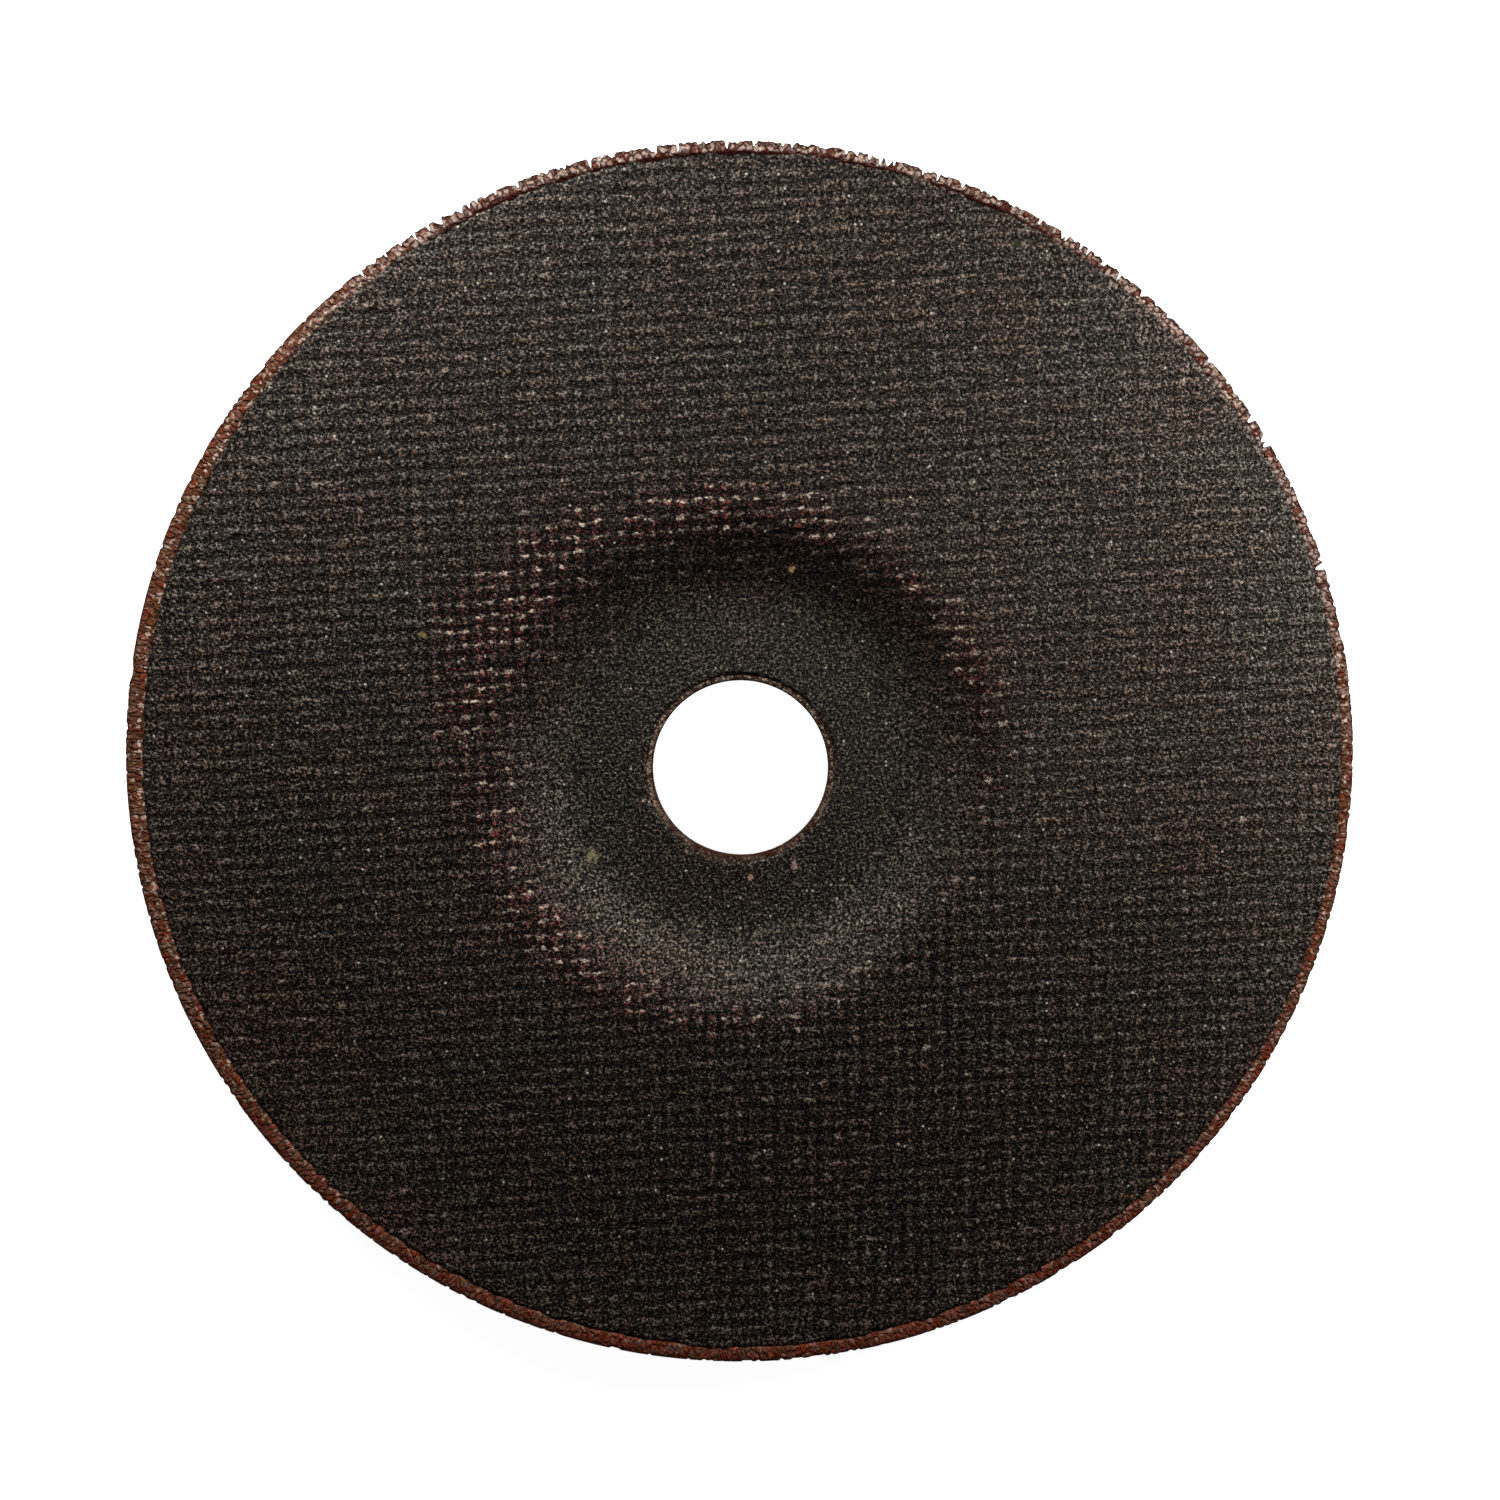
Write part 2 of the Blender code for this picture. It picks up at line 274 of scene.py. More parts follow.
# The same for the raw abrasive
SWIRL_SCALE = 1300.0
SWIRL = 0.00045
SHADE_RANGE = (0.3, 0.7)
LINE_RANGE = (0.03, 0.20, 1.0, 0.0)
RUST_RANGE = (0.53, 0.67)
RUST_SHARE = 0.15
DEEP_LIFT = 0.3
RAGGED_RANGE = (0.3, 0.7, -0.12, 0.12)
GRAIN_RANGE = (0.42, 0.88)
CLOUD_SHARE = 0.5
GRAIN_PALE_SHARE = 0.8
GRAIN_SHARE = 0.12
GRAIN_EDGE_RANGE = (0.5, 0.85, 1.0, 0.45)
LINE_PALE_SHARE = 0.5
LINE_SHARE = 0.4
FLECK_RANGE = (0.57, 0.64)
FLECK_EDGE_RANGE = (0.2, 0.8)
FLECK_EDGE_SHARE = 0.3
FLECK_RUST_RANGE = (0.0, 1.0, 1.0, 0.22)
PIT_SHARE = 0.8
INNER_RANGE = (0.14, 0.30, 1.0, 0.0)
OUTLINE_NOISE_RANGE = (0.3, 0.7, -0.3, 0.3)
OUTLINE_RANGE = (0.25, 0.7)
OUTLINE_SHARE = 0.9
RAW_ROUGHNESS = (0.4, 0.6, 0.8, 0.6)
RAW_SPECULAR = 0.06
RAW_BUMP = 0.0002

# Zinc-plated steel: its two greys, and ranges as above
STEEL_GREYS = (0.42, 0.42, 0.41), (0.6, 0.6, 0.6)
STEEL_RANGE = (0.4, 0.7)
STEEL_ROUGHNESS = (0.3, 0.7, 0.3, 0.5)
STEEL_BUMP = 0.00002

# Sockets of a colour's Mix node
MIX_FACTOR, MIX_FIRST, MIX_SECOND, MIX_RESULT = 0, 6, 7, 2

# Camera, fitted to the outlines of rim and bore in the photograph
CAMERA_PLACE = Vector((0.00018, 0.01979, 0.20032))
CAMERA_AIM = Vector((0.00118, 0.00276, 0.0076))
CAMERA_FIELD = radians(51.18)
CAMERA_NEAR = 0.01

# Two equal soft lamps: each one's azimuth and power
LAMPS = (("right_key", radians(30), 0.50), ("left_key", radians(120), 0.54))
LAMP_ELEVATION = radians(25)
LAMP_DISTANCE = 0.22
LAMP_SIZE = 0.12
ROOM_LIGHT = 0.04

# How finely the pieces are made: points per thread across and up, and points round the wheel
FRONT_SAMPLES = (4, 4)
BACK_SAMPLES = (3, 3)
RIM_SAMPLES = 4800
CORE_SAMPLES = 480
RING_SAMPLES = 360
CLOTH_STRIDE = 3
BORE_STRIDE = 5
PLAIN_STRIDE = 3
SECTION_STRIDE = 4
EDGE_MARGIN = 0.6
MERGE_DISTANCE = 1e-8

# The disc's body and the raw rim's foot under the cloth, and the rim's rounded section
CORE_RADIUS = CLOTH_RADIUS - 0.0004
RIM_FOOT_RADIUS = CLOTH_RADIUS - 0.0012
RIM_SQUARENESS = 3.0
RIM_ARC_POINTS = 9
RIM_ARC_BUNCHING = 0.7
RIM_STEPS = 3
RIM_STEP = (WALL_THICKNESS - 2 * (CLOTH_STEP + RIM_DROP)) / RIM_STEPS
BORE_ARC_STEPS = 5
RING_EDGE = 0.00012
RING_EDGE_STEPS = 3
RING_BEND_STEPS = 8

# Abrasive grains: their size, seed and lie, and how far the resin stands back between them
GRAIN_SIZE = 0.00075
GRAIN_SEED = 5
GRAIN_SWIRL = 0.35
GRAIN_SWIRL_SCALE = 1.7
RIM_STRETCH = 1.25
RIM_GRAIN_DROP = 0.00025
RIM_SMOOTH_DROP = 0.4
RIM_WALL_DROP = 0.3
BORE_FINENESS = 1.7
BORE_GRAIN_DROP = 0.00012

# Dark lines of the raw abrasive: the one at the cloth along the slits, and the one at the rim's corners
LINE_FADE = radians(10)
OUTLINE_WIDTH = 0.0004
OUTLINE_FADE = 0.0003
BORE_LINE = 0.4
BORE_OUTLINE = 0.25

FLOOR_RADIUS = 3.0
FLOOR_CORNERS = 96
FLOOR_DROP = 0.0001
FLOOR_GREY = 0.8
FLOOR_ROUGHNESS = 0.9
FLOOR_SHINE = 0.95
WHITE = (1, 1, 1, 1)


def dished_line(depth):
    """Radii and heights from the hub's flat to the rim's flat, at this depth below the recessed side."""
    slope = Vector(((MOUTH_DIAMETER - FLOOR_DIAMETER) / 2, RECESS_DEPTH)).angle(Vector((1, 0)))
    tangent = tan(slope / 2)
    lower = FLOOR_FILLET + depth
    upper = MOUTH_FILLET - depth
    floor_r = FLOOR_DIAMETER / 2 + depth * tangent - lower * tangent
    mouth_r = MOUTH_DIAMETER / 2 + depth * tangent + upper * tangent
    turn = np.linspace(0, slope, FILLET_STEPS)
    radii = np.concatenate((floor_r + lower * np.sin(turn), mouth_r - upper * np.sin(turn[::-1])))
    heights = np.concatenate((
        FLOOR_LEVEL - depth + lower * (1 - np.cos(turn)),
        FACE_LEVEL - depth - upper * (1 - np.cos(turn[::-1])),
    ))
    return radii, heights


def held(values):
    """Hold values between 0 and 1."""
    return np.clip(values, 0, 1)


def by_radius(radius, table):
    """A number for each radius in millimetres, from a table of radii and numbers."""
    return np.interp(radius, *zip(*table))


def eased(share):
    """Ease a number from 0 to 1 in and out."""
    return share * share * (3 - 2 * share)


def smooth_noise(x, y, size, seed, wrap=None):
    """Smooth noise from -1 to 1, with lumps about this size across. wrap is the period of x."""
    rng = np.random.default_rng(seed)
    count = NOISE_CELLS if wrap is None else max(1, round(wrap / size))
    step = size if wrap is None else wrap / count
    table = rng.uniform(-1, 1, (count, NOISE_CELLS))
    column, row = np.floor(x / step), np.floor(y / size)
    fx, fy = eased(x / step - column), eased(y / size - row)
    i, j = column.astype(int) % count, row.astype(int) % NOISE_CELLS
    right, up = (i + 1) % count, (j + 1) % NOISE_CELLS
    near = table[i, j] * (1 - fx) + table[right, j] * fx
    far = table[i, up] * (1 - fx) + table[right, up] * fx
    return near * (1 - fy) + far * fy


def lumps(x, y, layers, base=0.0, wrap=None):
    """A base with layers of smooth noise on it."""
    return sum((strength * smooth_noise(x, y, size, seed, wrap) for strength, size, seed in layers), base)


def rim_noise(along, size, seed):
    """Smooth noise along the rim, that meets itself after one turn."""
    return smooth_noise(along, along * 0, size, seed, 2 * pi * WHEEL_RADIUS)


def phase(wave, x, y):
    """Count of threads from the centre to these points, across one set of threads."""
    return wave[0] * x + wave[1] * y


def valley(turns):
    """0 on each thread's crest and 1 between two threads."""
    return 0.5 - 0.5 * np.cos(2 * pi * turns)


def wear(x, y):
    """How far the coat is worn, from 0 to 1: round the shoulder of the recess, least at the lower right."""
    angle = np.degrees(np.arctan2(y, x)) % 360
    tables = (WEAR_STRENGTH, WEAR_RADIUS, WEAR_WIDTH)
    strength, middle, width = (np.interp(angle, WEAR_ANGLES, table) for table in tables)
    ring = strength * np.exp(-((np.hypot(x, y) / MILLIMETRE - middle) / width) ** 2)
    patch = lumps(x, y, WEAR_LUMPS, base=WEAR_LEVEL)
    faint = FAINT_WEAR * held(smooth_noise(x, y, *FAINT_WEAR_LUMPS) - FAINT_WEAR_START)
    return held(ring * patch + faint)


def coat_tone_and_shade(x, y):
    """How much lighter the coat is, in powers of two: darkest on the hub and lighter towards the rim, the
    lower side more, in painted light; painted shade on the upper slope of the recess and painted light on its
    lower slope; the hub painted lighter at the top and darker at the bottom.
    """
    def sides(top, bottom):
        return top + (bottom - top) * low

    radius = np.hypot(x, y) / MILLIMETRE
    low = 0.5 - 0.5 * y / np.hypot(x, y)
    # Lighter towards the rim, the lower side more: painted light
    tone = by_radius(radius, COAT_TONE) * np.where(radius < OUTER_TONE_START, 1, sides(*OUTER_LIGHT_SIDES))
    # Painted shade on the upper slope of the recess and painted light on its lower slope, then the hub
    # painted lighter at the top and darker at the bottom
    tone += by_radius(radius, SLOPE_TONE) * sides(*SLOPE_SHADE_SIDES)
    return tone + by_radius(radius, HUB_TONE) * sides(*HUB_LIGHT_SIDES)


def ragged(angles):
    """1 along the ragged upper arc of the rim, and 0 along the rest."""
    middle = (RAGGED_START + RAGGED_END) / 2
    away = np.abs((angles - middle + pi) % (2 * pi) - pi) - (RAGGED_END - RAGGED_START) / 2
    return held(0.5 - away / RAGGED_FADE)


def nicks(angles):
    """How deep the solid's own nicks are at these angles, each found with a ray from outside."""
    solid = BVHTree.FromObject(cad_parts["abrasive_disc"], bpy.context.evaluated_depsgraph_get())
    level = Vector((0, 0, FACE_LEVEL - WALL_THICKNESS / 2))
    facet = 2 * pi / RIM_FACETS
    depth = np.zeros(len(angles))
    for index, angle in enumerate(angles):
        out = Vector((cos(angle), sin(angle), 0))
        hit = solid.ray_cast(out * WHEEL_RADIUS * OUTSIDE + level, -out)[0]
        whole = WHEEL_RADIUS * cos(facet / 2) / cos(angle % facet - facet / 2)
        depth[index] = max(0.0, whole - hypot(hit.x, hit.y) - NICK_SLACK)
    return depth


def chips(angles):
    """How far the rim is broken inwards: the solid's nicks, and slits and bites between them."""
    depth = nicks(angles)
    rng = np.random.default_rng(BITE_SEED)
    along = angles * WHEEL_RADIUS
    slits = (SLIT_PITCH, SLIT_DEPTH, SLIT_WIDTHS)
    bites = (BITE_PITCH, BITE_DEPTH, BITE_WIDTHS)
    for pitch, deepest, widths in (slits, bites):
        start = SLITS_START * WHEEL_RADIUS
        while start < RAGGED_END * WHEEL_RADIUS:
            start += pitch * rng.uniform(*SPACING_RANGE)
            width = MILLIMETRE * rng.uniform(*widths)
            bite = deepest * rng.uniform(*DEPTH_RANGE)
            reach = held(1.0 - np.abs(along - start) / width)
            depth = np.maximum(depth, bite * np.sqrt(reach))
    for angle in ROUND_BITES:
        reach = held(1.0 - (np.abs(angles - radians(angle)) * WHEEL_RADIUS / ROUND_BITE_WIDTH) ** 2)
        depth = np.maximum(depth, ROUND_BITE_DEPTH * np.sqrt(reach))
    fringe = 0.5 + 0.5 * rim_noise(along, *FRINGE_LUMPS)
    swell = 0.5 + 0.5 * rim_noise(along, *SWELL_LUMPS)
    return depth + FRINGE * (fringe ** 2 + SWELL_SHARE * swell)


def new_object(name, points, faces):
    """Make an object from points in metres and faces, shaded smooth."""
    mesh = bpy.data.meshes.new(name)
    mesh.from_pydata(points, [], faces)
    mesh.validate()
    mesh.shade_smooth()
    obj = bpy.data.objects.new(name, mesh)
    bpy.context.scene.collection.objects.link(obj)
    return obj


def store(obj, name, values):
    """Keep one number for each point of an object's mesh, for its material."""
    attribute = obj.data.attributes.new(name, "FLOAT", "POINT")
    attribute.data.foreach_set("value", np.asarray(values, np.float32))


def edge_at(x, y, outer):
    """The cloth's outer radius in the direction of these points, from its radii round the wheel."""
    turn = np.arange(len(outer) + 1) * 2 * pi / len(outer)
    return np.interp(np.arctan2(y, x) % (2 * pi), turn, np.append(outer, outer[0]))


def thread_points(outer, samples):
    """Points in step with the threads: their places between the cloth's edges, and the threads' counts."""
    pitch_x = 1 / FINE_COLUMNS[0] / samples[0]
    pitch_y = 1 / FINE_ROWS[1] / samples[1]
    reach = ceil(WHEEL_RADIUS * OUTSIDE / min(pitch_x, pitch_y))
    index = np.arange(-reach, reach + 1)
    columns, rows = np.meshgrid(index, index)
    x = columns * pitch_x
    y = rows * pitch_y - x * FINE_ROWS[0] / FINE_ROWS[1]
    wander_x = MILLIMETRE * lumps(x, y, WANDER_ACROSS)
    wander_y = MILLIMETRE * lumps(x, y, WANDER_UP)
    radius = np.hypot(x + wander_x, y + wander_y)
    margin = pitch_y * EDGE_MARGIN
    keep = (radius < edge_at(x, y, outer) - margin) & (radius > CLOTH_BORE_RADIUS + margin)
    places = x[keep] + wander_x[keep], y[keep] + wander_y[keep]
    return places, (columns[keep] / samples[0], rows[keep] / samples[1])


def thread_relief(x, y, columns, rows, lift):
    """How far the resin lies below the threads' crests."""
    strength = lumps(columns, rows, THREAD_LUMPS, base=1)
    relief = ROW_RELIEF * valley(rows) * strength + COLUMN_RELIEF * valley(columns)
    relief += NET_RELIEF * valley(phase(NET_ROWS, x, y)) + NET_RELIEF * valley(phase(NET_COLUMNS, x, y))
    return np.clip(relief, 0, MOST_RELIEF) * ROW_HEIGHT * lift


def cloth_looks(x, y, columns, rows, lift, facing):
    """What the cloth's material needs at each point, with the strength of the painted shade in the threads'
    gaps and the coat's tone with its painted light and shade. Only the recessed side is worn.
    """
    angle = np.degrees(np.arctan2(y, x)) % 360
    return {
        "worn": wear(x, y) if facing > 0 else np.zeros(len(x)),
        "tone_and_shade": coat_tone_and_shade(x, y),
        "across_rows": rows,
        "across_columns": columns,
        "weave": lift * np.interp(angle, THREAD_ANGLES, ROW_SHADE_STRENGTH),
        "upright": lift * np.interp(angle, THREAD_ANGLES, COLUMN_SHADE_STRENGTH),
        "contrast": np.interp(angle, THREAD_ANGLES, GRAIN_CONTRAST),
        "hub": by_radius(np.hypot(x, y) / MILLIMETRE, HUB_COLOURED),
    }


def closed_ring(first, count):
    """Pairs of neighbours along a closed ring of points."""
    return [(first + i, first + (i + 1) % count) for i in range(count)]


def on_line(line, x, y, depth):
    """Points at this depth below a dished line."""
    return np.stack((x, y, np.interp(np.hypot(x, y), *line) - depth), 1)


def woven_face(name, line, facing, outer, samples, rise):
    """One woven face of the disc, between the raw bands at bore and rim.

    It is a closed skin: the woven side, and a plain side sunk into the disc's body.
    """
    turn = np.arange(len(outer)) * 2 * pi / len(outer)
    hole_turn = turn[::BORE_STRIDE]
    ring_x = np.concatenate((outer * np.cos(turn), CLOTH_BORE_RADIUS * np.cos(hole_turn)))
    ring_y = np.concatenate((outer * np.sin(turn), CLOTH_BORE_RADIUS * np.sin(hole_turn)))
    rim, bore = closed_ring(0, len(turn)), closed_ring(len(turn), len(hole_turn))

    (inner_x, inner_y), (inner_columns, inner_rows) = thread_points(outer, samples)
    x, y = np.concatenate((ring_x, inner_x)), np.concatenate((ring_y, inner_y))
    columns = np.concatenate((phase(FINE_COLUMNS, ring_x, ring_y), inner_columns))
    rows = np.concatenate((phase(FINE_ROWS, ring_x, ring_y), inner_rows))
    lift = rise(np.hypot(x, y))
    woven = on_line(line, x, y, facing * thread_relief(x, y, columns, rows, lift))

    plain_r, plain_turn = np.meshgrid(line[0][::PLAIN_STRIDE], hole_turn)
    plain_x = np.concatenate((ring_x, (plain_r * np.cos(plain_turn)).ravel()))
    plain_y = np.concatenate((ring_y, (plain_r * np.sin(plain_turn)).ravel()))
    plain = on_line(line, plain_x, plain_y, facing * (ROW_HEIGHT + 2 * CLOTH_STEP))

    shift = len(woven)
    faces = fill(x, y, rim + bore, outer, facing > 0)
    for face in fill(plain_x, plain_y, rim + bore, outer, facing < 0):
        faces.append(tuple(i + shift for i in face))
    faces += [(b, a, a + shift, b + shift)[::facing] for a, b in rim]
    faces += [(a, b, b + shift, a + shift)[::facing] for a, b in bore]
    obj = new_object(name, np.concatenate((woven, plain)).tolist(), faces)
    for look, values in cloth_looks(x, y, columns, rows, lift, facing).items():
        store(obj, look, np.concatenate((values, np.zeros(len(plain)))))
    return obj


def fill(x, y, rings, outer, upwards):
    """Triangles between points, inside the outer ring and outside the bore."""
    places = [Vector(point) for point in zip(x, y)]
    triangles = np.array(delaunay_2d_cdt(places, rings, [], 0, MERGE_DISTANCE, False)[2])
    middle_x, middle_y = x[triangles].mean(1), y[triangles].mean(1)
    on_rings = (triangles < len(rings)).all(1)
    radius = np.hypot(middle_x, middle_y)
    inside = (radius > CLOTH_BORE_RADIUS) & (radius < edge_at(middle_x, middle_y, outer))
    return triangles[~on_rings | inside][:, ::1 if upwards else -1].tolist()


def lathe(name, section, count, shape=None):
    """Turn a closed section, clockwise in (radius, height), and let shape move the points."""
    section = np.asarray(section)
    turn = np.arange(count) * 2 * pi / count
    r = np.repeat(section[None, :, 0], count, 0)
    z = np.repeat(section[None, :, 1], count, 0)
    angle = np.repeat(turn[:, None], len(section), 1)
    if shape:
        r, z = shape(angle, r, z)
    points = np.stack((r * np.cos(angle), r * np.sin(angle), z), -1).reshape(-1, 3)
    size = len(section)
    faces = []
    for i in range(count):
        here, there = i * size, (i + 1) % count * size
        for j in range(size):
            k = (j + 1) % size
            faces.append((here + k, there + k, there + j, here + j))
    return new_object(name, points.tolist(), faces)


def arc(centre, radius_r, radius_z, start, end, steps):
    """Points of an arc in the (radius, height) plane."""
    turn = np.linspace(start, end, steps + 1)
    return np.stack((centre[0] + radius_r * np.cos(turn), centre[1] + radius_z * np.sin(turn)), 1).tolist()


def core_section():
    """Section of the disc's body, with the raw edge of the bore and the seat of the steel ring."""
    sink = ROW_HEIGHT + CLOTH_STEP
    front_r, front_z = dished_line(0.0)
    back_r, back_z = dished_line(WALL_THICKNESS)
    seat = BORE_RADIUS + RING_STRIP + RING_SEAT_GAP
    rebate = RING_STRIP + RING_SEAT_GAP
    relief = RING_BEND - RING_STRIP
    seat_level = RING_HEIGHT + RING_SEAT_GAP
    mouth = (CLOTH_BORE_RADIUS, FLOOR_LEVEL - CLOTH_STEP - BORE_DROP)

    section = arc(mouth, BORE_BAND, BORE_DROP, pi, pi / 2, BORE_ARC_STEPS)
    section.append((CLOTH_BORE_RADIUS + BORE_BAND, FLOOR_LEVEL - CLOTH_STEP - sink / 2))
    section += list(zip(front_r[::SECTION_STRIDE], front_z[::SECTION_STRIDE] - sink))
    section += [(CORE_RADIUS, FACE_LEVEL - sink), (CORE_RADIUS, FACE_LEVEL - WALL_THICKNESS + sink)]
    section += list(zip(back_r[::-SECTION_STRIDE], back_z[::-SECTION_STRIDE] + sink))
    section.append((FLANGE_RADIUS + RING_SEAT_GAP, CLOTH_STEP))
    section.append((FLANGE_RADIUS + RING_SEAT_GAP, rebate))
    section.append((seat + relief, rebate))
    section.append((seat, rebate + relief))
    section.append((seat, seat_level))
    section.append((BORE_RADIUS, seat_level))
    section.append((BORE_RADIUS, (seat_level + mouth[1]) / 2))
    return section


def rim_section():
    """Section of the raw rim: rounded to both faces, coarser at the back, and closed inside the disc."""
    sink = ROW_HEIGHT + CLOTH_STEP
    front = FACE_LEVEL - CLOTH_STEP
    back = FACE_LEVEL - WALL_THICKNESS + CLOTH_STEP
    out = np.linspace(0, 1, RIM_ARC_POINTS) ** RIM_ARC_BUNCHING
    fall = 1 - (1 - out ** RIM_SQUARENESS) ** (1 / RIM_SQUARENESS)
    section = [(RIM_FOOT_RADIUS, back + sink), (RIM_FOOT_RADIUS, front - sink)]
    section.append((CLOTH_RADIUS - CLOTH_STEP, front - sink))
    section += [(CLOTH_RADIUS + RIM_BAND * o, front - RIM_DROP * f) for o, f in zip(out, fall)]
    section += [(WHEEL_RADIUS, front - RIM_DROP - step * RIM_STEP) for step in range(1, RIM_STEPS)]
    section += [(CLOTH_RADIUS + RIM_BAND * o, back + RIM_DROP * f) for o, f in zip(out[::-2], fall[::-2])]
    section.append((CLOTH_RADIUS - CLOTH_STEP, back + sink))
    return section


def low_band(angle):
    """How much wider the raw band is than at the upper right: most at the lower left."""
    return LOW_BAND * (0.5 - 0.5 * np.sin(angle + LOW_BAND_TURN))


def stretched(angle, r, z, stretch):
    """Places in which abrasive grains are round though they lie long along the radius."""
    reach = WHEEL_RADIUS + (r - WHEEL_RADIUS) / stretch
    return np.stack((reach * np.cos(angle), reach * np.sin(angle), z), -1)


def grains(places, where):
    """How far each point stands back between abrasive grains, from 0 on a grain's crest to 1."""
    noise.seed_set(GRAIN_SEED)
    back = np.zeros(where.shape)
    for index in zip(*np.nonzero(where)):
        place = Vector(places[index]) / GRAIN_SIZE
        place += GRAIN_SWIRL * noise.noise_vector(place * GRAIN_SWIRL_SCALE)
        back[index] = min(noise.voronoi(place)[0][0], 1.0)
    return back


def store_looks(obj, places, **looks):
    """Keep what the raw material needs.

    places is where each grain is looked up. Of the looks, bare runs from 0 at the cloth to 1 at the raw edge,
    pale says how pale the grains are, lined and edged how dark the line at the cloth and at the raw edge
    is, and rusty how red the resin is.
    """
    spot = obj.data.attributes.new("spot", "FLOAT_VECTOR", "POINT")
    spot.data.foreach_set("vector", places.astype(np.float32).ravel())
    for name, values in looks.items():
        store(obj, name, values.ravel())


def make_core():
    """The disc's body under its woven faces, with the raw edge of the bore."""
    def shape(angle, r, z):
        places = stretched(angle, r, z, 1.0)
        bare = held((CLOTH_BORE_RADIUS - r) / BORE_BAND)
        above_seat = RING_HEIGHT + RING_SEAT_GAP * 1.5
        drop = BORE_GRAIN_DROP * grains(places, (r < CLOTH_BORE_RADIUS + CLOTH_STEP) & (z > above_seat))
        upper = 0.5 + 0.5 * np.sin(angle)
        looks.update(places=places * BORE_FINENESS, bare=bare, pale=upper)
        looks.update(lined=BORE_LINE + (1 - BORE_LINE) * upper)
        looks.update(edged=held((bare - 1 + BORE_OUTLINE) / BORE_OUTLINE), rusty=1 - upper)
        return r + drop, z - drop

    looks = {}
    obj = lathe("abrasive_core", core_section(), CORE_SAMPLES, shape)
    store_looks(obj, **looks)
    return obj


def make_rim(depth):
    """The raw rim: grains stand out of it, and it is broken along the upper arc."""
    def shape(angle, r, z):
        places = stretched(angle, r, z, RIM_STRETCH)
        bare = held((r - CLOTH_RADIUS) / RIM_BAND)
        at_rim = r > CLOTH_RADIUS - CLOTH_STEP / 2
        pale = ragged(angle)
        drop = RIM_GRAIN_DROP * grains(places, at_rim) * (RIM_SMOOTH_DROP + (1 - RIM_SMOOTH_DROP) * pale)
        middle = FACE_LEVEL - WALL_THICKNESS / 2
        z = z - drop * (1 - bare) * np.sign(z - middle) * at_rim
        r = r - low_band(angle) * (1 - bare) * (r > RIM_FOOT_RADIUS)
        reach = WHEEL_RADIUS - depth[:, None]
        r = np.where(at_rim, np.minimum(r, reach) - RIM_WALL_DROP * drop * bare, r)
        lined = held((angle - SLITS_START) / LINE_FADE) * held((RAGGED_END - angle) / LINE_FADE)
        wall = WALL_THICKNESS / 2 - CLOTH_STEP - RIM_DROP
        edged = held(1 - (reach - r) / OUTLINE_WIDTH)
        edged = edged * held((np.abs(z - middle) - wall + OUTLINE_WIDTH) / OUTLINE_FADE)
        looks.update(places=places, bare=bare, pale=pale, lined=lined, edged=edged)
        looks.update(rusty=held(-np.sin(angle)))
        return r, z

    looks = {}
    obj = lathe("abrasive_rim", rim_section(), RIM_SAMPLES, shape)
    store_looks(obj, **looks)
    return obj


def make_ring():
    """Pressed steel ring that lines the bore, with its flange let into the back of the hub."""
    def edge(r, z, start):
        return arc((r, z), RING_EDGE, RING_EDGE, start, start - pi / 2, RING_EDGE_STEPS)

    def bend(radius, start, end):
        return arc((BORE_RADIUS + RING_BEND, RING_BEND), radius, radius, start, end, RING_BEND_STEPS)

    section = edge(BORE_RADIUS + RING_STRIP - RING_EDGE, RING_HEIGHT - RING_EDGE, pi / 2)
    section += bend(RING_BEND - RING_STRIP, pi, pi * 1.5)
    section += edge(FLANGE_RADIUS - RING_EDGE, RING_STRIP - RING_EDGE, pi / 2)
    section += edge(FLANGE_RADIUS - RING_EDGE, RING_EDGE, 0)
    section += bend(RING_BEND, pi * 1.5, pi)
    section += edge(BORE_RADIUS + RING_EDGE, RING_HEIGHT - RING_EDGE, pi)
    return lathe("arbor_ring_steel", section, RING_SAMPLES)


